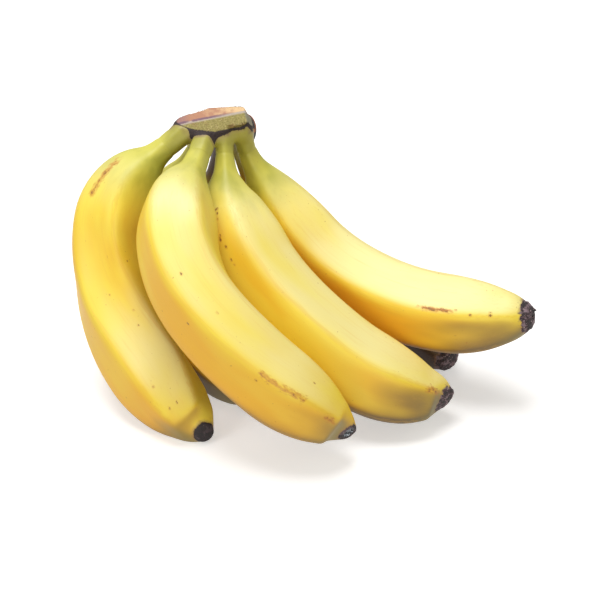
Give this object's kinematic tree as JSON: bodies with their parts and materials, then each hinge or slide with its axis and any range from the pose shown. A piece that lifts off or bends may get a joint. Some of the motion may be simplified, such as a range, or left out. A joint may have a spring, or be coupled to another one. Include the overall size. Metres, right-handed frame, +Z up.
{
  "type": "bunch of bananas",
  "caption": "A hand of ripe yellow bananas joined at a cut brown crown, standing on its lower fingers with the crown on top.",
  "frame": {"origin": "on the table that the bunch stands on, under the middle of its outline", "axes": "+Z up, towards the crown; +X towards the side that the finger tips curl to, along the bunch's longest extent; -Y is the front, with the front row of fingers"},
  "size_m": [0.2146, 0.1532, 0.1224],
  "materials": {
    "peel": null,
    "dry_stalk": null
  },
  "bodies": {
    "root": {"crown": "dry_stalk", "finger_left": "peel", "finger_front": "peel", "finger_middle": "peel", "finger_right": "peel", "finger_back_left": "peel", "finger_back_middle": "peel", "finger_back_right": "peel"}
  },
  "joints": []
}
